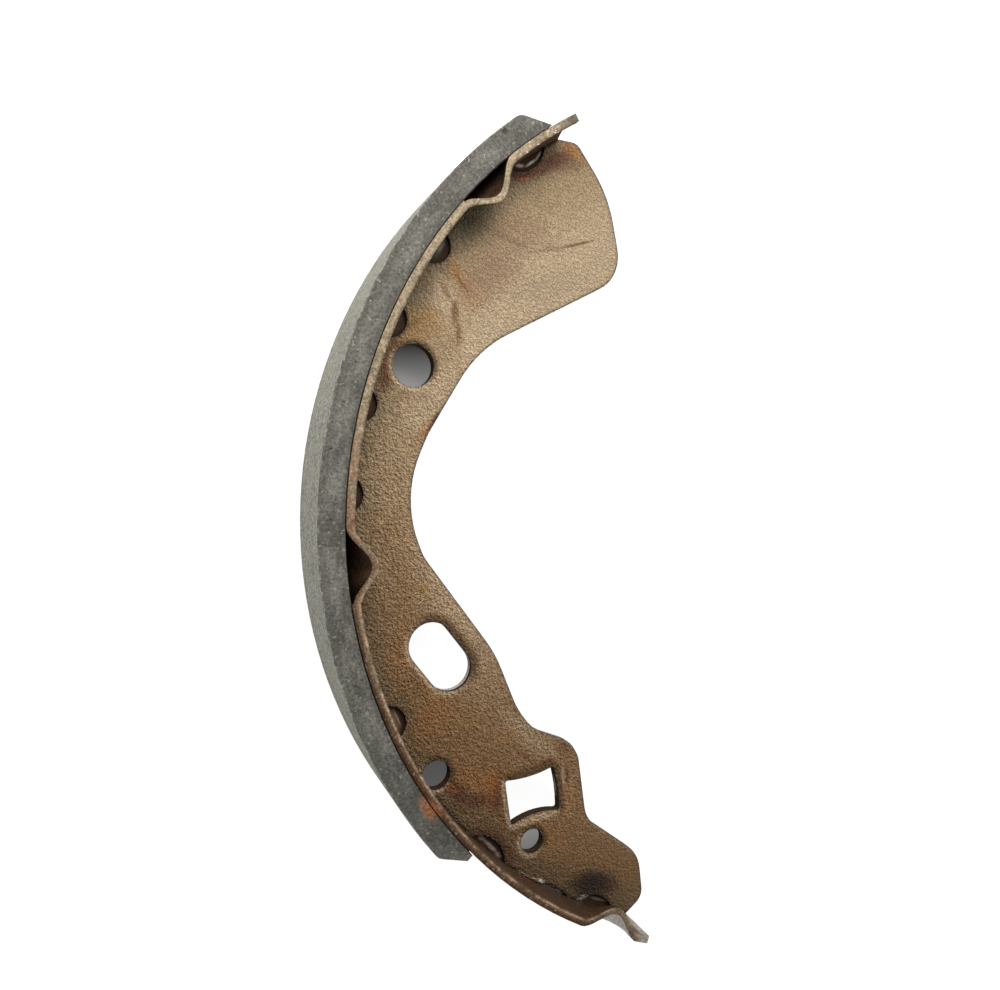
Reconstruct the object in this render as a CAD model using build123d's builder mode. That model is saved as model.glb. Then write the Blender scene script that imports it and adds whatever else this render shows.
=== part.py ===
from build123d import *
from math import cos, pi, radians, sin
import os

os.makedirs("parts", exist_ok=True)

# A drum brake shoe, lying flat. The origin is under the middle of the shoe, in the plane that it rests on.
# Angles are measured round the drum's axis from +X, and a depth is measured inwards from the rim's inner face.

# Where the drum's axis stands, from the origin
drum_axis_x = 60.25
drum_axis_y = 3.93

# Thicknesses, from the drum inwards
drum_radius = 95.0
lining_thickness = 4.6
bond_thickness = 0.2
rim_thickness = 1.5
web_thickness = 2.0

# Widths, along the drum's axis
rim_width = 20.0
lining_inset = 0.3
bond_inset = 0.8

# Where each piece starts and ends round the axis
rim_start = 121.1
rim_end = 250.65
lining_start = 124.6
lining_end = 221.9

# The lining's ends slope by this angle, with a rounded outer corner; the far end is square near the rim
lining_slope = 2.9
lining_corner_radius = 2.5
lining_end_step = 1.3

# The near end of the rim is cut back, and keeps a small ear along its edge
ear_width = 1.1
ear_cut_angle = 2.3

# Nibs: places where the rim's near edge is pressed inwards to slide on the backing plate
nib_angles = [135.9, 184.2, 244.6]
nib_depths = [3.7, 4.2, 4.2]
nib_half_angle = 4.6
nib_thickness = 1.25
nib_base_gap = 0.5
nib_steps = 16

# Web outline, from the broad end round to the narrow end: each corner's angle, its depth and its radius.
# The last two are in hundredths of the drum's radius, so that the web keeps its shape in any drum.
web_corners = [
    (118.7, 2.4, 2.6),
    (117.3, 14.8, 26.3),
    (121.7, 31.5, 8.2),
    (152.0, 18.5, 26.3),
    (166.9, 14.6, 12.6),
    (176.3, 11.1, 23.7),
    (184.7, 15.4, 8.9),
    (203.4, 25.4, 28.4),
    (214.6, 23.8, 18.9),
    (219.4, 24.1, 9.3),
    (226.5, 27.9, 5.8),
    (229.8, 26.7, 4.2),
    (237.7, 16.5, 6.0),
    (249.7, 13.3, 7.8),
    (252.6, 4.3, 3.5),
]

# Round holes
pivot_hole_angle = 158.6
pivot_hole_depth = 7.4
pivot_hole_diameter = 8.0
spring_hole_angle = 231.4
spring_hole_depth = 6.45
spring_hole_diameter = 4.9
edge_hole_angle = 213.9
edge_hole_depth = 2.65
edge_hole_diameter = 5.6

# Obround slot, turned from the direction of the rim
slot_angle = 199.8
slot_depth = 13.75
slot_length = 14.8
slot_width = 8.8
slot_turn = 18.0

# Window with curved sides
window_angle = 227.1
window_depth = 13.5
window_length = 10.75
window_height = 9.35
window_turn = 51.0
window_top_bow = 0.6
window_bottom_bow = 1.0
window_side_bow = 0.35
window_corner_radius = 0.5

# Weld notches: round ones along the rim, and wider shallow ones near its ends
round_notch_angles = [143.9, 154.7, 165.5, 176.3, 204.7]
round_notch_width = 7.0
round_notch_depth = 3.3
wide_notch_angles = [126.4, 226.7, 245.4]
wide_notch_width = 9.8
wide_notch_depth = 2.4
nugget_recess = 0.9

# A short stretch where the web stands off the rim
relief_start = 236.6
relief_end = 240.6
relief_depth = 0.5

# How far the cutting shapes reach past the rim's two faces
rim_margin = 2.0

lining_radius_in = drum_radius - lining_thickness
rim_radius_out = lining_radius_in - bond_thickness
rim_radius_in = rim_radius_out - rim_thickness
web_bottom = (rim_width - web_thickness) / 2
web_top = web_bottom + web_thickness
nib_bottom = web_top + nib_base_gap
axis_plane = Plane(origin=(drum_axis_x, drum_axis_y, 0))


def polar(radius, angle):
    """A point at a radius and an angle in degrees, round the drum's axis."""
    return (radius * cos(radians(angle)), radius * sin(radians(angle)))


def below_rim(angle, depth):
    """A point a depth inwards from the rim's inner face."""
    return polar(rim_radius_in - depth, angle)


def arc(radius, start, end):
    """An arc round the drum's axis."""
    return ThreePointArc(polar(radius, start), polar(radius, (start + end) / 2), polar(radius, end))


def band(inner_radius, outer_radius, start, end):
    """The outline of a strip that follows the drum."""
    outer = arc(outer_radius, start, end)
    inner = arc(inner_radius, start, end)
    Line(outer @ 0, inner @ 0)
    Line(outer @ 1, inner @ 1)


def nib_outline(middle, depth, share):
    """The rim's outline across a nib, pressed inwards by a share of the nib's full depth."""
    outer_points = []
    inner_points = []
    for step in range(nib_steps + 1):
        offset = 2 * step / nib_steps - 1
        press = share * cos(pi / 2 * offset) ** 2
        angle = middle + nib_half_angle * offset
        outer_radius = rim_radius_out - depth * press
        thickness = rim_thickness - (rim_thickness - nib_thickness) * press
        outer_points.append(polar(outer_radius, angle))
        inner_points.append(polar(outer_radius - thickness, angle))
    ends = [polar(1, middle + side * nib_half_angle + 90) for side in (-1, 1)]
    outer = Spline(outer_points, tangents=ends)
    inner = Spline(inner_points, tangents=ends)
    Line(outer @ 0, inner @ 0)
    Line(outer @ 1, inner @ 1)


def notch_radius(width, depth):
    """The radius of a round notch from its width along the rim and its depth."""
    return (width ** 2 / 4 + depth ** 2) / (2 * depth)


def notch_centres(angles, width, depth):
    """The centres of the round notches at these angles."""
    radius = notch_radius(width, depth)
    return [below_rim(angle, depth - radius) for angle in angles]


# Web: a flat steel plate, blanked with its holes, its window and its weld notches
web_unit = drum_radius / 100
outline_points = [below_rim(rim_start, 0)]
outline_points += [below_rim(angle, depth * web_unit) for angle, depth, corner_radius in web_corners]
outline_points += [below_rim(rim_end, 0)]
outline_radii = [corner_radius * web_unit for angle, depth, corner_radius in web_corners]
slot_direction = slot_angle + 90 + slot_turn
window_direction = window_angle + 90 + window_turn
window_place = Location(below_rim(window_angle, window_depth) + (web_bottom,), (0, 0, window_direction))
window_plane = Plane(axis_plane.location * window_place)

with BuildPart() as web:
    with BuildSketch(axis_plane.offset(web_bottom)):
        with BuildLine():
            FilletPolyline(outline_points, radius=outline_radii)
            arc(rim_radius_in, rim_start, rim_end)
        make_face()
        with Locations(below_rim(pivot_hole_angle, pivot_hole_depth)):
            Circle(pivot_hole_diameter / 2, mode=Mode.SUBTRACT)
        with Locations(below_rim(spring_hole_angle, spring_hole_depth)):
            Circle(spring_hole_diameter / 2, mode=Mode.SUBTRACT)
        with Locations(below_rim(edge_hole_angle, edge_hole_depth)):
            Circle(edge_hole_diameter / 2, mode=Mode.SUBTRACT)
        with Locations(below_rim(slot_angle, slot_depth)):
            SlotOverall(slot_length, slot_width, rotation=slot_direction, mode=Mode.SUBTRACT)
        with Locations(notch_centres(round_notch_angles, round_notch_width, round_notch_depth)):
            Circle(notch_radius(round_notch_width, round_notch_depth), mode=Mode.SUBTRACT)
        with Locations(notch_centres(wide_notch_angles, wide_notch_width, wide_notch_depth)):
            Circle(notch_radius(wide_notch_width, wide_notch_depth), mode=Mode.SUBTRACT)
        with BuildLine():
            band(rim_radius_in - relief_depth, rim_radius_out, relief_start, relief_end)
        make_face(mode=Mode.SUBTRACT)
    extrude(amount=web_thickness)
    with BuildSketch(window_plane):
        with BuildLine():
            half_length = window_length / 2
            half_height = window_height / 2
            top_left = (-half_length, half_height)
            top_right = (half_length, half_height)
            low_right = (half_length, -half_height)
            low_left = (-half_length, -half_height)
            SagittaArc(top_left, top_right, -window_top_bow)
            SagittaArc(top_right, low_right, window_side_bow)
            SagittaArc(low_right, low_left, -window_bottom_bow)
            Line(low_left, top_left)
        window_face = make_face()
        fillet(window_face.vertices(), window_corner_radius)
    extrude(amount=web_thickness, mode=Mode.SUBTRACT)
web.part.label = "web"
export_step(web.part, "parts/web.step")

# Weld nuggets: metal that filled the notches when the web was welded to the rim
with BuildPart() as weld_nuggets:
    with BuildSketch(axis_plane.offset(web_bottom)):
        with Locations(notch_centres(round_notch_angles, round_notch_width, round_notch_depth)):
            Circle(notch_radius(round_notch_width, round_notch_depth))
        with Locations(notch_centres(wide_notch_angles, wide_notch_width, wide_notch_depth)):
            Circle(notch_radius(wide_notch_width, wide_notch_depth))
        Circle(rim_radius_in, mode=Mode.INTERSECT)
    extrude(amount=web_thickness - nugget_recess)
weld_nuggets.part.label = "weld_nuggets"
export_step(weld_nuggets.part, "parts/weld_nuggets.step")

# Rim: a steel strip rolled to the drum's curve, with three nibs pressed into its near edge
nib_height = rim_width - nib_bottom
nib_levels = [0, 1 / 3, 2 / 3, 1]
ear_plane = Plane(
    origin=axis_plane.from_local_coords(polar(rim_radius_in - rim_margin, rim_start) + (0,)),
    x_dir=polar(1, rim_start + 90) + (0,),
    z_dir=polar(1, rim_start) + (0,),
)
ear_cut_length = radians(ear_cut_angle) * rim_radius_in
ear_bottom = rim_width - ear_width

with BuildPart() as rim:
    with BuildSketch(axis_plane):
        with BuildLine():
            band(rim_radius_in, rim_radius_out, rim_start, rim_end)
        make_face()
    extrude(amount=rim_width)
    with BuildSketch(ear_plane):
        with BuildLine():
            Polyline((0, web_top), (ear_cut_length, ear_bottom), (-ear_width, ear_bottom),
                     (-ear_width, web_top), close=True)
        make_face()
    extrude(amount=rim_thickness + 2 * rim_margin, mode=Mode.SUBTRACT)
    for nib_angle, nib_depth in zip(nib_angles, nib_depths):
        with BuildSketch(axis_plane.offset(nib_bottom)):
            with BuildLine():
                band(rim_radius_in - rim_margin, rim_radius_out + rim_margin,
                     nib_angle - nib_half_angle, nib_angle + nib_half_angle)
            make_face()
        extrude(amount=nib_height, mode=Mode.SUBTRACT)
        for level in nib_levels:
            with BuildSketch(axis_plane.offset(nib_bottom + level * nib_height)):
                with BuildLine():
                    nib_outline(nib_angle, nib_depth, sin(pi / 2 * level) ** 2)
                make_face()
        loft()
rim.part.label = "rim"
export_step(rim.part, "parts/rim.step")

# Bond layer: the cured adhesive between rim and lining
bond_angle = 180 * bond_inset / (pi * rim_radius_out)
with BuildPart() as bond_layer:
    with BuildSketch(axis_plane.offset(bond_inset)):
        with BuildLine():
            band(rim_radius_out, lining_radius_in, lining_start + bond_angle, lining_end - bond_angle)
        make_face()
    extrude(amount=rim_width - 2 * bond_inset)
bond_layer.part.label = "bond_layer"
export_step(bond_layer.part, "parts/bond_layer.step")

# Lining: a moulded arc of friction material with sloped ends
with BuildPart() as lining:
    with BuildSketch(axis_plane.offset(lining_inset)) as lining_sketch:
        with BuildLine():
            friction_face = arc(drum_radius, lining_start + lining_slope, lining_end - lining_slope)
            bonded_face = arc(lining_radius_in, lining_start, lining_end)
            Line(friction_face @ 0, bonded_face @ 0)
            Polyline(friction_face @ 1, polar(lining_radius_in + lining_end_step, lining_end), bonded_face @ 1)
        make_face()
        outer_corners = lining_sketch.vertices().sort_by_distance((0, 0))[-2:]
        fillet(outer_corners, lining_corner_radius)
    extrude(amount=rim_width - 2 * lining_inset)
lining.part.label = "lining"
export_step(lining.part, "parts/lining.step")
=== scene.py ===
import math

import bmesh
import bpy
from mathutils import Matrix, Vector

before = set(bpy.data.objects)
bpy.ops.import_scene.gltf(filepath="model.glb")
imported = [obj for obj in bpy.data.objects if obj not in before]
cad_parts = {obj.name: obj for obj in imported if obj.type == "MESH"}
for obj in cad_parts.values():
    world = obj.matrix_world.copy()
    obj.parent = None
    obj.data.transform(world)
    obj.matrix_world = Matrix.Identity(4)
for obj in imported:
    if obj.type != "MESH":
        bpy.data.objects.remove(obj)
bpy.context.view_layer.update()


# ---------------------------------------------------------------- the table, the lamp and the camera
# The shoe lies on a white table, on the edge of its rim. One soft lamp stands past its broad end, so the
# light falls off towards the narrow end, and a plain white room fills the shadows.
table_width = 3.0
table_white = (0.8, 0.8, 0.8)
table_glow = 0.93
table_glow_white = (0.24, 0.24, 0.24)
white = (1.0, 1.0, 1.0)
room_light = 0.45
room_in_gloss = 0.7
lamp_place = Vector((-0.010, 0.109, 0.140))
lamp_aim = Vector((0.0, 0.0, 0.010))
lamp_size = 0.110
lamp_watts = 0.24
lamp_white = (1.0, 0.985, 0.96)
camera_place = Vector((-0.05775, 0.01357, 0.15524))
camera_aim = Vector((0.00655, 0.00896, 0.0))
camera_lens = 28.8
camera_sensor = 36.0
camera_near = 0.01

# Little light gets through the shoe's three small holes: the centre and the radius of the shade under each,
# its grey, and how much brighter it gets for each metre towards the narrow end
hole_shades = [
    ((-0.0125, 0.0350), 0.0070, 0.105, 24.0),
    ((0.0140, -0.0655), 0.0062, 0.16, -10.0),
    ((-0.0080, -0.0480), 0.0055, 0.075, 4.0),
]
shade_edge = 0.1


class Wire:
    """A shader socket that adds and multiplies like a number."""

    def __init__(self, tree, socket=None):
        self.tree = tree
        self.socket = socket

    def node(self, kind, settings, inputs, output=0):
        """Add a node: its settings first, then a value or a wire for each of its sockets."""
        made = self.tree.nodes.new(kind)
        for name, value in settings.items():
            setattr(made, name, value)
        for name, value in inputs.items():
            socket = made.inputs[name]
            if isinstance(value, Wire):
                self.tree.links.new(value.socket, socket)
            elif socket.type == "RGBA":
                socket.default_value = (*value, 1.0)
            else:
                socket.default_value = value
        return Wire(self.tree, made.outputs[output])

    def math(self, operation, *others):
        return self.node("ShaderNodeMath", {"operation": operation}, dict(enumerate((self, *others))))

    def __add__(self, other):
        return self.math("ADD", other)

    def __sub__(self, other):
        return self.math("SUBTRACT", other)

    def __rsub__(self, other):
        return self.node("ShaderNodeMath", {"operation": "SUBTRACT"}, {0: other, 1: self})

    def __mul__(self, other):
        return self.math("MULTIPLY", other)

    def __truediv__(self, other):
        return self.math("DIVIDE", other)

    __radd__ = __add__
    __rmul__ = __mul__

    def ramp(self, start, end):
        """0 before start and 1 after end, with a smooth step between. Start may be past end."""
        inputs = {"Value": self, "From Min": start, "From Max": end}
        return self.node("ShaderNodeMapRange", {"interpolation_type": "SMOOTHSTEP"}, inputs)

    def ragged(self, waver, reach):
        """This with a ragged edge: noise moves it by up to half of reach, either way."""
        return self + (waver - 0.5) * reach

    def mix(self, low, high):
        """One color where this is 0, and another where it is 1."""
        return self.node("ShaderNodeMix", {"data_type": "RGBA"}, {0: self, 6: low, 7: high}, 2)

    def tint(self, color):
        """This color, multiplied by another."""
        settings = {"data_type": "RGBA", "blend_type": "MULTIPLY"}
        return self.node("ShaderNodeMix", settings, {0: 1.0, 6: self, 7: color}, 2)


def new_material(name):
    """An empty material, and a wire to start its nodes from."""
    material = bpy.data.materials.new(name)
    material.use_nodes = True
    material.node_tree.nodes.clear()
    return material, Wire(material.node_tree)


def finish_material(shader):
    """Show a shader on the material's surface."""
    output = shader.tree.nodes.new("ShaderNodeOutputMaterial")
    shader.tree.links.new(shader.socket, output.inputs["Surface"])


def light_paths(start):
    """1 for each kind of ray that shows the white room: from the camera, glossy and through glass."""
    rays = start.node("ShaderNodeLightPath", {}, {}).socket.node.outputs
    names = ("Is Camera Ray", "Is Glossy Ray", "Is Transmission Ray")
    return [Wire(start.tree, rays[name]) for name in names]


def add_table():
    """The white table that the shoe lies on. It looks white, and lights the shoe as a white table does."""
    shape = bmesh.new()
    bmesh.ops.create_grid(shape, x_segments=1, y_segments=1, size=table_width / 2)
    mesh = bpy.data.meshes.new("table")
    shape.to_mesh(mesh)
    shape.free()
    table = bpy.data.objects.new("table", mesh)
    bpy.context.scene.collection.objects.link(table)
    material, start = new_material("white_table")
    camera_ray, glossy_ray, clear_ray = light_paths(start)
    seen_ray = camera_ray.math("MAXIMUM", glossy_ray).math("MAXIMUM", clear_ray)
    place = start.node("ShaderNodeTexCoord", {}, {}, "Object")
    glow = table_glow
    table_along = place.node("ShaderNodeSeparateXYZ", {}, {0: place}, 1)
    for (across, along), radius, dark, slope in hole_shades:
        centre = (across, along, 0.0)
        away = place.node("ShaderNodeVectorMath", {"operation": "DISTANCE"}, {0: place, 1: centre}, "Value")
        shade = (along - table_along) * slope + dark
        inside = away.ramp(radius * (1 + shade_edge), radius * (1 - shade_edge))
        glow = glow - inside * (table_glow - shade)
    glowing = glow.node("ShaderNodeEmission", {}, {"Color": white, "Strength": glow})
    shaded = glow.node("ShaderNodeBsdfDiffuse", {}, {"Color": table_glow_white})
    shown = glow.node("ShaderNodeAddShader", {}, {0: glowing, 1: shaded})
    lit = glow.node("ShaderNodeBsdfDiffuse", {}, {"Color": table_white})
    finish_material(glow.node("ShaderNodeMixShader", {}, {0: seen_ray, 1: lit, 2: shown}))
    mesh.materials.append(material)


def add_room():
    """The white room round the table: bright to look at, and dimmer as a light on the shoe."""
    world = bpy.data.worlds.new("white_room")
    world.use_nodes = True
    world.node_tree.nodes.clear()
    start = Wire(world.node_tree)
    camera_ray, glossy_ray, clear_ray = light_paths(start)
    seen_ray = camera_ray.math("MAXIMUM", clear_ray)
    strength = seen_ray.math("MAXIMUM", glossy_ray * room_in_gloss) * (1.0 - room_light) + room_light
    background = start.node("ShaderNodeBackground", {}, {"Color": white, "Strength": strength})
    output = world.node_tree.nodes.new("ShaderNodeOutputWorld")
    world.node_tree.links.new(background.socket, output.inputs["Surface"])
    bpy.context.scene.world = world


def add_lamp():
    """The round soft lamp past the broad end."""
    lamp = bpy.data.objects.new("soft_lamp", bpy.data.lights.new("soft_lamp", "AREA"))
    lamp.data.shape = "DISK"
    lamp.data.size = lamp_size
    lamp.data.energy = lamp_watts
    lamp.data.color = lamp_white
    lamp.location = lamp_place
    lamp.rotation_euler = (lamp_aim - lamp_place).to_track_quat("-Z", "Y").to_euler()
    lamp.visible_camera = False
    bpy.context.scene.collection.objects.link(lamp)


def add_camera():
    """A camera over the lining, with the shoe's length upright in its picture."""
    camera = bpy.data.objects.new("camera", bpy.data.cameras.new("camera"))
    camera.data.lens = camera_lens
    camera.data.sensor_width = camera_sensor
    camera.data.clip_start = camera_near
    backward = (camera_place - camera_aim).normalized()
    sideways = Vector((0.0, 1.0, 0.0)).cross(backward).normalized()
    upward = backward.cross(sideways)
    facing = Matrix((sideways, upward, backward)).transposed().to_4x4()
    camera.matrix_world = Matrix.Translation(camera_place) @ facing
    bpy.context.scene.collection.objects.link(camera)
    bpy.context.scene.camera = camera


add_table()
add_room()
add_lamp()
add_camera()
bpy.context.scene.view_settings.view_transform = "Standard"


# ---------------------------------------------------------------- the web
# A flat plate blanked from sheet steel with its holes, slot and window. It is bare metal, gone tan and
# brown with brake dust and light rust. The punch rolled its upper edges over, and tore the upper half of
# its cut walls.
drum_axis = (60.25, 3.93)
rim_inner_radius = 88.7
web_tan = (0.314, 0.228, 0.140)
web_pale = (0.46, 0.36, 0.245)
web_brown = (0.215, 0.126, 0.062)
web_olive_and_shade = (0.096, 0.084, 0.056)
web_ochre = (0.300, 0.170, 0.060)
web_rust = (0.330, 0.130, 0.040)
web_maroon = (0.095, 0.036, 0.024)
web_dark_rust_and_shade = (0.050, 0.024, 0.012)
web_heat = (0.034, 0.022, 0.019)
web_blotch = (0.150, 0.078, 0.036)
web_pinkish = (0.235, 0.140, 0.095)
web_gold = (0.330, 0.190, 0.080)
web_torn_wall = (0.060, 0.034, 0.018)
web_shorn_wall = (0.70, 0.67, 0.62)
web_wear_and_highlight = (0.50, 0.38, 0.25)
web_bright = (0.80, 0.76, 0.70)
web_edge_shade_line = (0.115, 0.105, 0.095)
web_rolled_shade = (0.085, 0.044, 0.017)
grain_low = (0.20, 0.15, 0.10)
grain_high = (1.98, 1.94, 1.86)
web_broad_size = 7.0
web_mottle_size = 2.0
web_grain_size = 0.27
web_worm_size = 0.42
web_edge_roll = 0.0014
web_torn_from = 10.1
web_metallic = 0.20
web_bump = 0.00040
bevel_samples = 8
surface_gloss = 0.12

# How far from the axis these begin, and how far from it they are full: the pale band at the inner edge, the
# painted shade beside the rim, the painted shade in the corner under the rim, and the shorn part of the cut
# walls
web_inner_edge = (80.0, 68.0)
web_rim_shade_side = (79.0, rim_inner_radius)
web_corner_shade = (87.6, 88.5)
web_shorn_within = (85.0, 84.0)

# Where along the shoe, from its middle, these begin and are full: the brown of the narrow half, the pale of the
# inner edge, the painted highlight of the outline, the strong dimples, and the plainer skin of the narrow end
web_brown_half = (22.0, -26.0)
web_pale_half = (-38.0, -8.0)
web_outline_highlight_half = (10.0, -10.0)
web_dimpled_half = (50.0, 0.0)
web_plain_end = (-52.0, -70.0)

# The web's holes, slot and window: where each stands round the axis and from it, the half-length and the
# half-width of its middle part, the radius round that, how the length runs, and how far the painted shade
# reaches
web_holes = [
    (158.6, 81.30, 0.0, 0.0, 4.00, 0.0, 1.3),
    (231.4, 82.25, 0.0, 0.0, 2.45, 0.0, 1.6),
    (213.9, 86.05, 0.0, 0.0, 2.80, 0.0, 1.6),
    (199.8, 74.95, 3.0, 0.0, 4.40, -52.2, 2.5),
    (227.1, 75.20, 4.9, 4.2, 0.50, 8.1, 2.1),
]
web_slot = web_holes[3]

# Round each hole: how far from its edge the cut wall ends and the painted highlight fades in, and how much a
# side faces the light, from 1 to -1, where the painted shade and the painted highlight begin and are full
hole_wall = (0.2, 0.4)
hole_highlight_edge = (1.4, 0.3)
hole_shade_side = (-0.2, 0.8)
hole_highlight_side = (0.1, -0.7)

# The way that the punched edges and the dimples catch the light: the angle from +X, and a step towards it
light_turn = 42.0
light_step = (0.09, 0.08, 0.0)

# Stains and marks, each with its centre, half-length, half-width, how the length runs, its strength and its
# color: the heat round the welds, the run of rust from the second weld, the dirt round the pivot hole, the
# pale and rusty places of the inner edge, the scratches, and the rust of the narrow end
web_stains = [
    ((10.9, 74.0), 8.6, 2.0, 30.0, 0.74, web_maroon),
    ((16.4, 75.8), 4.6, 2.4, 0.0, 0.42, web_maroon),
    ((17.4, 78.4), 3.6, 1.8, -32.0, 0.50, web_rust),
    ((18.6, 78.2), 3.2, 1.3, -58.0, 0.45, web_gold),
    ((6.0, 71.6), 3.0, 1.0, 10.0, 0.75, web_maroon),
    ((7.2, 71.0), 1.6, 0.5, 15.0, 0.45, web_rust),
    # Painted shade under the first nib
    ((-3.2, 61.8), 8.5, 3.4, 52.0, 0.55, web_olive_and_shade),
    ((3.7, 59.0), 5.0, 0.9, -18.0, 0.30, web_maroon),
    ((23.3, -71.8), 6.4, 3.2, -14.0, 0.92, web_heat),
    # A painted glint where the last weld meets the web
    ((20.0, -74.2), 1.4, 0.36, 16.0, 1.00, web_bright),
    ((0.8, -59.4), 6.5, 2.6, -46.0, 0.75, web_maroon),
    ((-6.2, 50.6), 5.5, 2.2, -55.0, 0.35, web_ochre),
    ((-6.8, 51.0), 2.6, 0.9, -55.0, 0.40, web_rust),
    ((-5.6, 49.4), 3.0, 0.36, -50.0, 0.80, web_blotch),
    ((1.0, 52.5), 9.0, 4.5, 40.0, 0.40, web_pinkish),
    ((8.0, 60.5), 8.0, 4.0, -10.0, 0.22, web_pinkish),
    ((12.0, 50.5), 9.0, 2.6, 15.0, 0.13, web_olive_and_shade),
    ((-3.6, 46.6), 3.6, 2.2, 20.0, 0.25, web_gold),
    ((-6.8, 42.4), 7.5, 1.9, -92.0, 0.50, web_gold),
    ((-8.4, 44.8), 6.0, 3.4, -75.0, 0.65, web_pale),
    ((-7.3, 44.0), 3.0, 1.0, -92.0, 0.80, web_blotch),
    ((-6.5, 39.2), 3.4, 0.70, -88.0, 0.75, web_blotch),
    ((-8.9, 47.6), 2.4, 0.8, -60.0, 0.60, web_blotch),
    ((-2.5, 39.5), 9.0, 3.4, 50.0, 0.50, web_pale),
    ((-10.5, 30.2), 4.0, 3.4, 40.0, 0.45, web_pale),
    ((-15.0, 41.2), 7.0, 3.6, 20.0, 0.55, web_ochre),
    ((-18.6, 39.7), 1.2, 0.7, 0.0, 0.85, web_maroon),
    ((-17.2, 40.6), 4.2, 0.8, 25.0, 0.50, web_blotch),
    ((-20.0, 33.5), 7.0, 2.4, 72.0, 0.75, web_blotch),
    ((-20.4, 33.0), 6.0, 1.6, 72.0, 0.45, web_maroon),
    ((7.4, -66.9), 4.5, 0.30, -31.0, 0.70, web_wear_and_highlight),
    ((11.0, -68.8), 0.9, 0.40, -31.0, 0.90, web_bright),
    ((14.5, -71.1), 3.6, 0.50, -33.0, 0.90, web_dark_rust_and_shade),
    ((-15.5, 27.8), 4.0, 1.4, 10.0, 0.35, web_blotch),
    ((-11.6, 23.0), 3.4, 0.60, 59.0, 0.95, web_maroon),
    ((-13.2, 21.4), 3.0, 1.2, 59.0, 0.40, web_rust),
    ((-13.0, 13.5), 9.0, 2.4, 78.0, 0.35, web_pinkish),
    ((19.0, 59.7), 4.6, 0.34, 17.0, 0.85, web_blotch),
    ((12.5, 58.0), 5.0, 0.60, 14.0, 0.30, web_blotch),
    ((-13.8, -8.4), 1.4, 1.0, 0.0, 0.65, web_ochre),
    ((-8.6, -5.4), 5.5, 0.5, -56.0, 0.45, web_rust),
    ((-12.5, -33.4), 7.0, 3.6, 60.0, 0.24, web_rust),
    ((-18.5, -21.0), 7.0, 3.0, 95.0, 0.18, web_rust),
    ((1.2, -49.4), 4.6, 2.0, 84.0, 0.70, web_maroon),
    ((-1.9, -50.2), 2.6, 1.8, 0.0, 0.75, web_maroon),
    ((-7.0, -47.8), 5.5, 2.0, -48.0, 0.75, web_maroon),
    ((-8.9, -46.6), 2.4, 1.0, -45.0, 0.45, web_rust),
    ((4.5, -55.8), 5.5, 2.4, -60.0, 0.45, web_maroon),
    ((-3.4, -46.2), 6.5, 2.6, -30.0, 0.28, web_rust),
    ((8.6, -39.0), 9.0, 2.2, -42.0, 0.35, web_pale),
    ((15.8, -43.6), 3.2, 0.8, -60.0, 0.45, web_gold),
    ((16.2, -41.0), 2.0, 4.0, 0.0, 0.40, web_maroon),
    ((13.5, -61.5), 6.0, 3.4, -35.0, 0.30, web_gold),
    ((0.4, -47.6), 4.2, 1.5, 84.0, 0.45, web_rust),
    ((7.2, -42.8), 2.4, 0.40, -40.0, 0.60, web_maroon),
    ((12.0, -44.7), 2.2, 0.50, 15.0, 0.75, web_maroon),
    ((15.9, -48.4), 2.4, 0.34, 95.0, 0.60, web_wear_and_highlight),
    ((16.9, -48.0), 2.8, 0.40, 95.0, 0.60, web_maroon),
    ((17.4, -54.0), 4.6, 1.6, 85.0, 0.45, web_gold),
    ((-14.4, 26.4), 6.5, 3.6, 62.0, 0.35, web_pale),
]


def place_on_shoe(start):
    """Where a point of the shoe is, in millimetres."""
    place = start.node("ShaderNodeTexCoord", {}, {}, "Object")
    return place.node("ShaderNodeVectorMath", {"operation": "SCALE"}, {0: place, "Scale": 1000.0})


def split(place):
    """How far a place is across the shoe, along it and up."""
    parts = place.node("ShaderNodeSeparateXYZ", {}, {0: place}).socket.node.outputs
    return [Wire(place.tree, part) for part in parts]


def distance(across, along, centre):
    """How far a point is from a centre."""
    from_x = across - centre[0]
    from_y = along - centre[1]
    return (from_x * from_x + from_y * from_y).math("SQRT")


def noise(place, size, detail, rough):
    """Soft noise from 0 to 1, with lumps about as wide as size, in millimetres."""
    shrink = [1 / size] * 3
    scaled = place.node("ShaderNodeVectorMath", {"operation": "MULTIPLY"}, {0: place, 1: shrink})
    inputs = {"Vector": scaled, "Scale": 0.5, "Detail": detail, "Roughness": rough}
    return scaled.node("ShaderNodeTexNoise", {}, inputs)


def turned(across, along, centre, turn):
    """How far a point is from a centre, along a line at an angle from +X and square to that line."""
    run = math.cos(math.radians(turn))
    rise = math.sin(math.radians(turn))
    x = across - centre[0]
    y = along - centre[1]
    return x * run + y * rise, y * run - x * rise


def patch(across, along, waver, centre, half_length, half_width, turn):
    """1 inside an oval patch, fading to 0 at its ragged edge. The patch's length runs at an angle from +X."""
    lengthwise, crosswise = turned(across, along, centre, turn)
    lengthwise = lengthwise / half_length
    crosswise = crosswise / half_width
    away = (lengthwise * lengthwise + crosswise * crosswise).math("SQRT")
    return away.ragged(waver, 0.9).ramp(1.25, 0.35)


def add_stains(color, stains, across, along, waver):
    """This color with a list of stains on it."""
    for centre, half_length, half_width, turn, strength, stain in stains:
        spot = patch(across, along, waver, centre, half_length, half_width, turn)
        color = (spot * strength).mix(color, stain)
    return color


def round_axis(turn, radius):
    """The point at an angle round the drum's axis and at a distance from it."""
    angle = math.radians(turn)
    return drum_axis[0] + radius * math.cos(angle), drum_axis[1] + radius * math.sin(angle)


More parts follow.
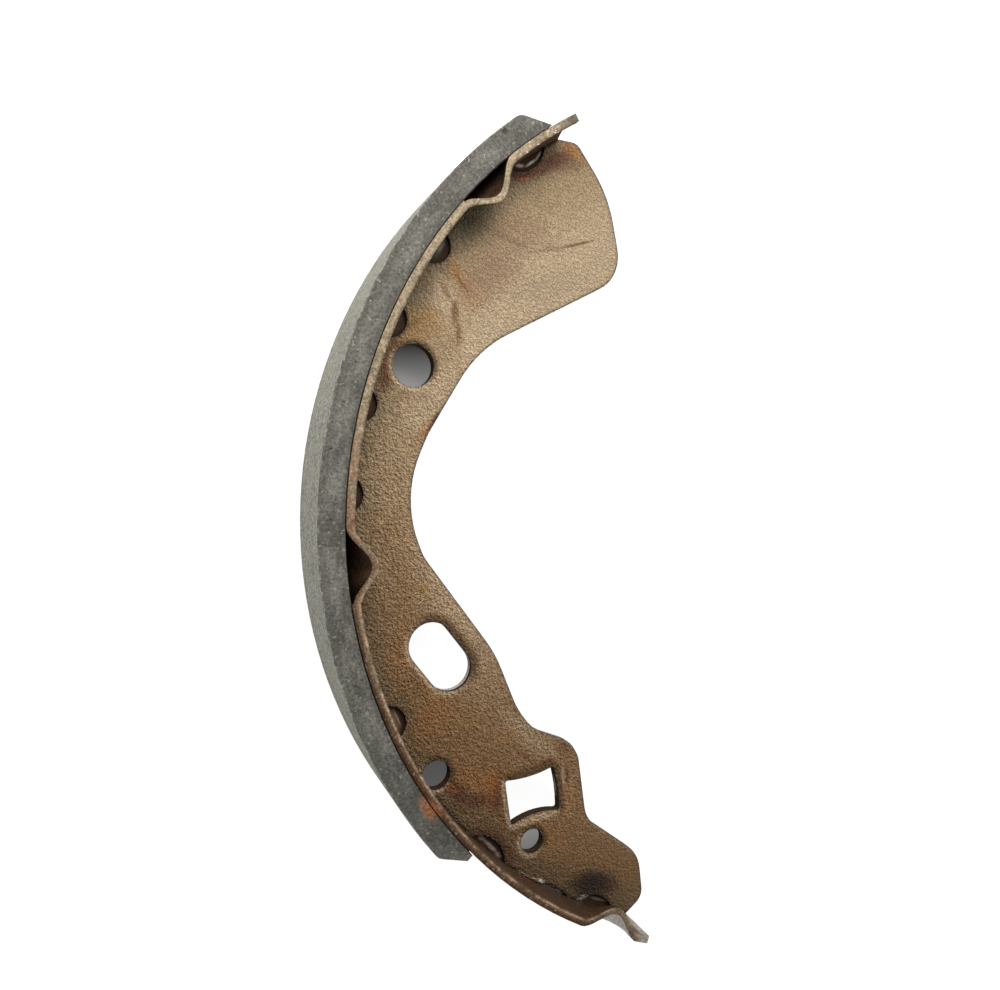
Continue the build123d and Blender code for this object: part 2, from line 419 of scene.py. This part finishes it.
def beside_hole(across, along, hole):
    """How far a point is from a hole's edge, and 1 to -1 from the side towards the light to the side away."""
    hole_turn, hole_radius, half_length, half_width, edge_radius, turn = hole[:-1]
    centre = round_axis(hole_turn, hole_radius)
    lengthwise, crosswise = turned(across, along, centre, turn)
    past_length = (lengthwise.math("ABSOLUTE") - half_length).math("MAXIMUM", 0.0)
    past_width = (crosswise.math("ABSOLUTE") - half_width).math("MAXIMUM", 0.0)
    outside_x = past_length * lengthwise.math("SIGN")
    outside_y = past_width * crosswise.math("SIGN")
    away = (outside_x * outside_x + outside_y * outside_y).math("SQRT")
    light = math.radians(light_turn - turn)
    facing = (outside_x * math.cos(light) + outside_y * math.sin(light)) / away.math("MAXIMUM", 0.01)
    return away - edge_radius, facing


def surface(color, roughness, metallic, bump_height, bump_depth, direction=None):
    """A surface with its color, its roughness, how metallic it is and its bump, in metres."""
    inputs = {"Height": bump_height, "Distance": bump_depth, "Strength": 1.0}
    if direction:
        inputs["Normal"] = direction
    normal = color.node("ShaderNodeBump", {}, inputs)
    return color.node("ShaderNodeBsdfPrincipled", {}, {
        "Base Color": color, "Roughness": roughness, "Metallic": metallic, "Normal": normal,
        "Specular IOR Level": surface_gloss})


def facing_up(start):
    """1 on a face that looks up or down, and 0 on an upright wall."""
    shape = start.node("ShaderNodeNewGeometry", {}, {}).socket.node.outputs
    true_normal = Wire(start.tree, shape["True Normal"])
    return start.node("ShaderNodeSeparateXYZ", {}, {0: true_normal}, 2).math("ABSOLUTE")


def web_steel():
    """Stained, dimpled sheet steel with punched edges and torn walls."""
    material, start = new_material("web_steel")
    place = place_on_shoe(start)
    across, along, up = split(place)
    radius = distance(across, along, drum_axis)
    broad = noise(place, web_broad_size, 4.0, 0.6)
    mottle = noise(place, web_mottle_size, 4.0, 0.65)
    grain = noise(place, web_grain_size, 2.0, 0.6)
    lit_place = place.node("ShaderNodeVectorMath", {"operation": "ADD"}, {0: place, 1: light_step})
    painted_emboss = grain - noise(lit_place, web_grain_size, 2.0, 0.6)
    worms = (noise(place, web_worm_size, 1.0, 0.4) - 0.5).math("ABSOLUTE").ramp(0.10, 0.01)

    # Tan towards the broad end, brown towards the narrow end, painted shade beside the rim and in its corner,
    # paler at the inner edge
    browned = along.ragged(broad, 60.0).ramp(*web_brown_half)
    color = browned.mix(web_tan, web_brown)
    color = (mottle.ramp(0.46, 0.68) * browned * 0.26).mix(color, web_ochre)
    inner_edge = radius.ragged(broad, 14.0).ramp(*web_inner_edge)
    color = (inner_edge * (along.ramp(*web_pale_half) * 0.58 + 0.12)).mix(color, web_pale)
    painted_rim_shade = radius.ragged(mottle, 7.0).ramp(*web_rim_shade_side)
    color = (painted_rim_shade * 0.60).mix(color, web_olive_and_shade)
    corner_shade = radius.ragged(mottle, 1.2).ramp(*web_corner_shade)
    color = (corner_shade * 0.65).mix(color, web_dark_rust_and_shade)
    color = add_stains(color, web_stains, across, along, mottle * 0.75 + grain * 0.25)

    # The punched edges round the holes: painted shade on the side towards the light, a painted highlight on the
    # side away
    shorn = radius.ramp(*web_shorn_within)
    for hole in web_holes:
        away, facing = beside_hole(across, along, hole)
        shade_reach = hole[-1]
        if hole != web_slot:
            shorn = shorn * away.ramp(*hole_wall)
        edge_shading = away.ragged(mottle, 0.8).ramp(shade_reach, shade_reach * 0.2)
        color = (edge_shading * facing.ramp(*hole_shade_side) * 0.88).mix(color, web_rolled_shade)
        color = (away.ramp(*hole_highlight_edge) * facing.ramp(*hole_highlight_side) * 0.75).mix(color, web_wear_and_highlight)

    # The plate's outline: a painted highlight on its rolled band where that faces the lamp, and a thin grey
    # painted shade where it turns down
    tipped = start.node("ShaderNodeBevel", {"samples": bevel_samples}, {"Radius": web_edge_roll})
    tip_along = start.node("ShaderNodeSeparateXYZ", {}, {0: tipped}, 1)
    tip_up = start.node("ShaderNodeSeparateXYZ", {}, {0: tipped}, 2)
    color = (tip_along.ramp(0.10, 0.45) * along.ramp(*web_outline_highlight_half) * 0.60).mix(color, web_wear_and_highlight)
    color = (tip_up.ramp(0.975, 0.86) * 0.60).mix(color, web_edge_shade_line)

    # The fine dimpled skin of rolled sheet, strongest where the dust has stained it. Its emboss is painted
    # shade and
    # highlight: each dimple is darker where it slopes away from the light and paler where it slopes towards it
    dimples = painted_emboss.ramp(-0.15, 0.15) * 0.64 + grain.ramp(0.34, 0.66) * 0.18 + worms * 0.18
    contrast = (along.ramp(*web_dimpled_half) * 0.50 + painted_rim_shade * 0.35 + 0.42).math("MINIMUM", 1.0)
    contrast = contrast - along.ramp(*web_plain_end) * 0.32
    color = color.tint(contrast.mix(white, dimples.mix(grain_low, grain_high)))

    # The cut walls: dark and torn, and bright and shorn only in the lower half of the slot and the inner edge.
    # Round the other holes the shorn half is left out, which paints shade on the walls of the three small ones
    flat = facing_up(start)
    shorn = shorn * up.ragged(mottle, 0.4).ramp(web_torn_from + 0.2, web_torn_from - 0.2)
    color = flat.ramp(0.6, 0.3).mix(color, shorn.mix(web_torn_wall, web_shorn_wall))
    height = grain * 0.7 + worms * 0.4
    roughness = mottle * 0.2 + 0.9 - flat * 0.4
    finish_material(surface(color, roughness, web_metallic, height, web_bump, tipped))
    return material


def dress(node, material):
    """Give a piece its finish."""
    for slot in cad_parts[node].material_slots:
        slot.material = material


dress("web", web_steel())


# ---------------------------------------------------------------- the weld nuggets
# Weld metal that ran into the web's notches and joined the web to the rim: dark and scaly steel with a few
# raised ridges, with painted shade where it meets the notch walls and painted highlights on its pale and white
# ridges.
nugget_scale = (0.066, 0.037, 0.017)
nugget_dark_scale_and_shade = (0.034, 0.017, 0.008)
nugget_highlight = (0.62, 0.54, 0.44)
nugget_glint = (1.0, 0.96, 0.92)
nugget_grey = (0.200, 0.185, 0.145)
nugget_brown = (0.210, 0.120, 0.058)
nugget_purple = (0.300, 0.220, 0.205)
nugget_lump_size = 0.6
nugget_shaded_edge = (0.4, 1.6)
nugget_bump = 0.0005

# The notches that the nuggets fill: how far from the axis their centres are, their radius, and where each
# stands round the axis
round_notches = (88.91, 3.51, [143.9, 154.7, 165.5, 176.3, 204.7])
wide_notches = (92.50, 6.20, [126.4, 226.7, 245.4])

# The three shallow nuggets are darker round their ridges. Rows are as in the web's stains.
nugget_shadows = [
    ((8.0, 75.8), 4.5, 2.6, 35.0, 0.60, nugget_dark_scale_and_shade),
    ((0.8, -61.2), 5.0, 2.6, -48.0, 0.70, nugget_dark_scale_and_shade),
    ((24.5, -76.2), 4.0, 1.6, -20.0, 0.60, nugget_dark_scale_and_shade),
]

# The ridges, from the broad end to the narrow end. The pale ones are painted highlights, the white one a
# painted glint.
nugget_ridges = [
    ((6.4, 73.9), 1.2, 0.50, 0.0, 0.75, nugget_highlight),
    ((9.0, 74.8), 1.6, 0.36, 38.0, 0.80, nugget_highlight),
    ((10.6, 76.4), 1.2, 0.28, 60.0, 0.70, nugget_highlight),
    ((-9.8, 56.2), 2.0, 0.55, 58.0, 0.80, nugget_grey),
    ((-19.2, 42.8), 2.0, 0.60, 66.0, 0.80, nugget_brown),
    ((-19.1, -33.2), 2.6, 1.00, -66.0, 0.80, nugget_brown),
    ((-18.5, -32.6), 2.2, 0.30, -66.0, 0.60, nugget_purple),
    ((-1.7, -58.2), 0.9, 0.55, -40.0, 0.80, nugget_purple),
    ((0.2, -60.2), 2.2, 0.50, -48.0, 0.85, nugget_purple),
    ((1.9, -62.3), 1.0, 0.60, -50.0, 0.75, nugget_purple),
    ((20.5, -74.9), 2.2, 0.55, 16.0, 1.00, nugget_glint),
    ((24.9, -76.0), 2.8, 0.45, -22.0, 0.80, nugget_grey),
]


def weld_steel():
    """Dark scaly weld metal with its ridges, and painted shade where it meets the notch."""
    material, start = new_material("weld_steel")
    place = place_on_shoe(start)
    across, along, _ = split(place)
    lumps = noise(place, nugget_lump_size, 3.0, 0.6)

    # How far in from its notch's wall this point is
    inside = across * 0.0
    for centre_radius, notch_radius, notch_turns in (round_notches, wide_notches):
        for notch_turn in notch_turns:
            away = distance(across, along, round_axis(notch_turn, centre_radius))
            inside = inside.math("MAXIMUM", notch_radius - away)
    # Painted shade along the notch's wall, and dark scale between the lumps
    scaly = lumps.ramp(0.25, 0.55) * inside.ragged(lumps, 0.9).ramp(*nugget_shaded_edge)
    color = scaly.mix(nugget_dark_scale_and_shade, nugget_scale)
    color = add_stains(color, nugget_shadows + nugget_ridges, across, along, lumps)

    # The ridges stand up, and the one with the painted glint is smooth
    height = lumps * 0.6
    polish = across * 0.0
    for *shape, _, ridge_color in nugget_ridges:
        ridge = patch(across, along, lumps, *shape)
        height = height + ridge * 0.4
        if ridge_color == nugget_glint:
            polish = ridge
    roughness = lumps * 0.3 + 0.45 - polish * 0.25
    finish_material(surface(color, roughness, polish * 0.9 + 0.1, height, nugget_bump))
    return material


dress("weld_nuggets", weld_steel())


# ---------------------------------------------------------------- the rim
# A strip of sheet steel rolled to the drum's curve and welded across the web's edge. Its upper edge is
# sheared, and is pressed inwards at three nibs that slide on the backing plate.
rim_edge_pale = (0.268, 0.208, 0.136)
rim_edge_brown = (0.138, 0.080, 0.041)
rim_edge_red = (0.215, 0.098, 0.056)
rim_ridge_highlight = (0.42, 0.33, 0.23)
rim_fleck = (0.62, 0.56, 0.48)
rim_ear = (0.100, 0.092, 0.074)
rim_face_brown = (0.088, 0.050, 0.028)
rim_face_grey = (0.52, 0.48, 0.43)
rim_hollow_shade = (0.010, 0.005, 0.003)
rim_hollow_top = (0.110, 0.062, 0.036)
rim_mark = (0.40, 0.130, 0.045)
rim_thickness = 1.5
rim_top = 20.0
rim_mottle_size = 1.2
rim_grain_size = 0.24
rim_broad_size = 6.0
rim_fleck_size = 0.30
rim_edge_roll = 0.0003
rim_metallic = 0.3
rim_bump = 0.00012

# Where along the shoe these begin and are full: the dark half of the strip, the brown and the reddish half of
# its edge, and the two ends of the edge's red stretch
rim_dark_half = (25.0, -25.0)
rim_brown_half = (10.0, -40.0)
rim_reddish_half = (30.0, 0.0)
rim_red_start = (30.0, 12.0)
rim_red_stop = (-16.0, 0.0)

# How far through the strip's thickness these begin and are full: the dark outer half of its edge, the painted
# shade of its inner side, and the painted highlight of the ridge, fading on both sides. Then the height where
# the faces turn to edge
rim_outer_half = (0.42, 0.80)
rim_inner_shade_side = (0.38, 0.10)
rim_ridge_place = 0.22
rim_ridge_fade = (0.20, 0.04)
rim_edge_side = (rim_top - 0.35, rim_top - 0.08)

# The angles round the axis where these begin and are full: the flecks of the broad end, its ear, the edge's
# pale end, and the bare steel of the outer face, of both faces and of the tip
rim_fleck_end = (134.0, 128.0)
rim_ear_end = (125.0, 121.5)
rim_pale_end = (241.0, 244.5)
rim_bare_outside = (242.0, 246.0)
rim_bare_faces = (249.0, 250.6)
rim_bare_tip = (248.6, 250.2)

# The nibs: where each stands round the axis and how deep it is pressed, and their half-width and lowest point
nibs = [(135.9, 3.7), (184.2, 4.2), (244.6, 4.2)]
nib_half_turn = 4.6
nib_bottom = 11.5

# The painted shade in their hollows lifts with height and with the depth of the press, and their inner faces
# darken with it
nib_hollow_height = (14.0, rim_top)
nib_hollow_press = (1.0, 4.0)
nib_inner_press = (0.3, 3.5)

# Two small marks on the edge. Rows are as in the web's stains.
rim_marks = [
    ((-28.8, 5.2), 0.9, 0.6, 90.0, 0.6, web_maroon),
    ((-14.6, -46.6), 2.4, 1.0, -55.0, 0.7, rim_mark),
]


def turn_round_axis(across, along):
    """A point's angle round the drum's axis, in degrees from +X."""
    back_x = 0.0 - (across - drum_axis[0])
    back_y = 0.0 - (along - drum_axis[1])
    return back_y.math("ARCTAN2", back_x) * (180 / math.pi) + 180.0


def grey(shade):
    """A shade as a grey color."""
    return shade.node("ShaderNodeCombineColor", {}, {0: shade, 1: shade, 2: shade})


def rim_steel():
    """Brown rolled steel with a paler sheared edge."""
    material, start = new_material("rim_steel")
    place = place_on_shoe(start)
    across, along, up = split(place)
    radius = distance(across, along, drum_axis)
    turn = turn_round_axis(across, along)
    mottle = noise(place, rim_mottle_size, 4.0, 0.6)
    grain = noise(place, rim_grain_size, 2.0, 0.6)
    broad = noise(place, rim_broad_size, 3.0, 0.6)

    # How far in the strip is pressed here, and so how far across its thickness this point is
    press = turn * 0.0
    for nib_turn, nib_depth in nibs:
        offset = ((turn - nib_turn) / nib_half_turn).math("MINIMUM", 1.0).math("MAXIMUM", -1.0)
        wave = (offset * (math.pi / 2)).math("COSINE")
        press = press + wave * wave * nib_depth
    rise = ((up - nib_bottom) / (rim_top - nib_bottom)).math("MAXIMUM", 0.0)
    lift = (rise * (math.pi / 2)).math("SINE")
    from_inside = (radius + press * lift * lift - rim_inner_radius) / rim_thickness

    # The sheared edge: pale at the broad end, brown towards the narrow end, with a painted highlight along a
    # ridge there, and painted shade along its inner side at the broad end
    narrow_half = along.ragged(broad, 20.0).ramp(*rim_dark_half)
    edge = along.ragged(broad, 30.0).ramp(*rim_brown_half).mix(rim_edge_pale, rim_edge_brown)
    reddened = along.ramp(*rim_red_start) * along.ramp(*rim_red_stop)
    red_share = along.ramp(*rim_reddish_half) * 0.35 + reddened * 0.40
    edge = (mottle.ramp(0.42, 0.62) * red_share).mix(edge, rim_edge_red)
    outer_half = from_inside.ragged(mottle, 0.5).ramp(*rim_outer_half)
    edge = (outer_half * narrow_half * 0.80).mix(edge, web_dark_rust_and_shade)
    inner_shade = from_inside.ragged(mottle, 0.3).ramp(*rim_inner_shade_side)
    edge = (inner_shade * (1.0 - narrow_half) * 0.65).mix(edge, web_olive_and_shade)
    ridge = (from_inside.ragged(mottle, 0.25) - rim_ridge_place).math("ABSOLUTE").ramp(*rim_ridge_fade)
    edge = (ridge * narrow_half * mottle.ramp(0.36, 0.58) * 0.70).mix(edge, rim_ridge_highlight)
    flecks = noise(place, rim_fleck_size, 2.0, 0.6).ramp(0.60, 0.70)
    edge = (flecks * (turn.ramp(*rim_fleck_end) * 0.45 + 0.30)).mix(edge, rim_fleck)
    edge = (turn.ramp(*rim_ear_end) * 0.80).mix(edge, rim_ear)
    edge = (turn.ramp(*rim_pale_end) * 0.55).mix(edge, rim_edge_pale)

    # Its two faces: brown inside, and outside painted with shade in the nibs' hollows and bare at the narrow
    # end
    hollow = up.ragged(mottle, 3.0).ramp(*nib_hollow_height) * press.ramp(*nib_hollow_press)
    hollow_shading = hollow.mix(rim_hollow_shade, rim_hollow_top)
    outside = turn.ramp(*rim_bare_outside).mix(hollow_shading, rim_face_grey)
    inside = (press.ramp(*nib_inner_press) * narrow_half * 0.60).mix(rim_face_brown, web_dark_rust_and_shade)
    face = from_inside.ramp(0.45, 0.55).mix(inside, outside)
    face = turn.ramp(*rim_bare_faces).mix(face, rim_face_grey)
    color = up.ramp(*rim_edge_side).mix(face, edge)
    color = (turn.ramp(*rim_bare_tip) * 0.6).mix(color, rim_face_grey)
    color = add_stains(color, rim_marks, across, along, mottle)
    dimples = grain.ramp(0.34, 0.66) * 0.60 + mottle.ramp(0.3, 0.7) * 0.35 + 0.52
    color = color.tint(grey(dimples))
    tipped = start.node("ShaderNodeBevel", {"samples": bevel_samples}, {"Radius": rim_edge_roll})
    height = grain * 0.8 + mottle * 0.8
    finish_material(surface(color, mottle * 0.25 + 0.5, rim_metallic, height, rim_bump, tipped))
    return material


dress("rim", rim_steel())


# ---------------------------------------------------------------- the bond layer
# The adhesive that holds the lining to the rim. The two are clamped together and baked, which squeezes it
# thin, and its edge shows as a line full of dark brake dust.
bond_brown = (0.120, 0.082, 0.062)
bond_black = (0.045, 0.034, 0.027)
bond_mottle_size = 0.8
bond_bump = 0.0002


def bond():
    """Dark cured adhesive."""
    material, start = new_material("bond")
    mottle = noise(place_on_shoe(start), bond_mottle_size, 3.0, 0.6)
    color = mottle.ramp(0.4, 0.6).mix(bond_black, bond_brown)
    finish_material(surface(color, mottle * 0.1 + 0.75, 0.0, mottle, bond_bump))
    return material


dress("bond_layer", bond())


# ---------------------------------------------------------------- the lining
# An arc of moulded friction material, matt and grey with pale mineral specks and dark pits, bonded to the
# rim. The drum has worn its outer face paler and a little greener.
lining_grey = (0.197, 0.190, 0.165)
lining_dark = (0.087, 0.083, 0.072)
lining_pale = (0.36, 0.35, 0.31)
lining_worn = (0.51, 0.497, 0.422)
lining_worn_dark = (0.34, 0.334, 0.282)
lining_shoulder_shade = (0.105, 0.104, 0.088)
lining_shoulder_shade_side = (92.8, 94.6)
lining_rim_shade_side = (91.7, 90.5)
lining_worn_side = (94.65, 94.95)
lining_top_corner = (19.2, 19.9)
lining_mottle_size = 1.5
lining_grit_size = 0.26
lining_broad_size = 5.0
lining_cloud_size = 1.3
lining_cloud_per_degree = 0.7
lining_speck_size = 0.36
lining_pit_size = 0.5
lining_bump = 0.00018

# Where along the shoe its two darker ends begin and are full
lining_broad_end = (15.0, 75.0)
lining_narrow_end = (-20.0, -50.0)

# A rusty mark beside the rim's. Its row is as in the web's stains.
lining_rust = (0.36, 0.130, 0.050)
lining_marks = [((-15.6, -46.4), 2.8, 1.2, -60.0, 0.75, lining_rust)]

# Two hairline cracks and a small chip: centre, half-length, half-width and how the length runs
lining_flaws = [
    ((-32.9, 5.6), 1.0, 0.14, 10.0),
    ((-32.6, 17.6), 0.9, 0.16, 20.0),
    ((-0.7, 75.7), 0.9, 0.55, 20.0),
]


def friction():
    """Matt moulded friction material."""
    material, start = new_material("friction")
    place = place_on_shoe(start)
    across, along, up = split(place)
    radius = distance(across, along, drum_axis)
    turn = turn_round_axis(across, along)
    mottle = noise(place, lining_mottle_size, 5.0, 0.65)
    grit = noise(place, lining_grit_size, 3.0, 0.7)
    broad = noise(place, lining_broad_size, 3.0, 0.6)

    # The side: clouded along the arc, and darker towards both ends, with painted shade at its outer shoulder
    # and beside the rim
    along_arc = turn.node("ShaderNodeCombineXYZ", {}, {0: turn * lining_cloud_per_degree, 1: up, 2: radius})
    clouds = noise(along_arc, lining_cloud_size, 3.0, 0.6)
    color = (clouds.ramp(0.38, 0.62) * 0.66 + broad.ramp(0.38, 0.62) * 0.34).mix(lining_dark, lining_grey)
    color = (along.ramp(*lining_broad_end) * 0.32).mix(color, lining_dark)
    color = (along.ramp(*lining_narrow_end) * 0.25).mix(color, lining_dark)
    shoulder_shade = radius.ragged(mottle, 1.4).ramp(*lining_shoulder_shade_side)
    color = (shoulder_shade * 0.65).mix(color, lining_shoulder_shade)
    painted_rim_shade = radius.ragged(mottle, 0.8).ramp(*lining_rim_shade_side)
    color = (painted_rim_shade * 0.50).mix(color, lining_dark)

    # The face that the drum has worn
    worn_color = (mottle * 0.30 + grit * 0.70).ramp(0.32, 0.66).mix(lining_worn_dark, lining_worn)
    # Painted shade along the worn face's top corner
    worn_color = up.ragged(mottle, 2.4).ramp(*lining_top_corner).mix(worn_color, lining_shoulder_shade)
    worn = radius.ragged(mottle, 0.8).ramp(*lining_worn_side)
    color = worn.mix(color, worn_color)
    color = add_stains(color, lining_marks, across, along, mottle)

    # The flaws in its side, and the grit, specks and pits of the moulding
    flaws = across * 0.0
    for flaw in lining_flaws:
        flaws = flaws.math("MAXIMUM", patch(across, along, grit, *flaw))
    color = (flaws * facing_up(start).ramp(0.5, 0.8) * 0.9).mix(color, bond_black)
    color = color.tint(grey(grit.ramp(0.34, 0.66) * 0.62 + 0.70))
    specks = noise(place, lining_speck_size, 1.0, 0.5).ramp(0.66, 0.74)
    color = (specks * 0.55).mix(color, lining_pale)
    pits = noise(place, lining_pit_size, 2.0, 0.5).ramp(0.36, 0.28)
    color = (pits * 0.50).mix(color, lining_dark)
    height = grit * 0.6 + mottle * 0.6 - pits * 0.6
    finish_material(surface(color, grit * 0.15 + 0.8, 0.0, height, lining_bump))
    return material


dress("lining", friction())
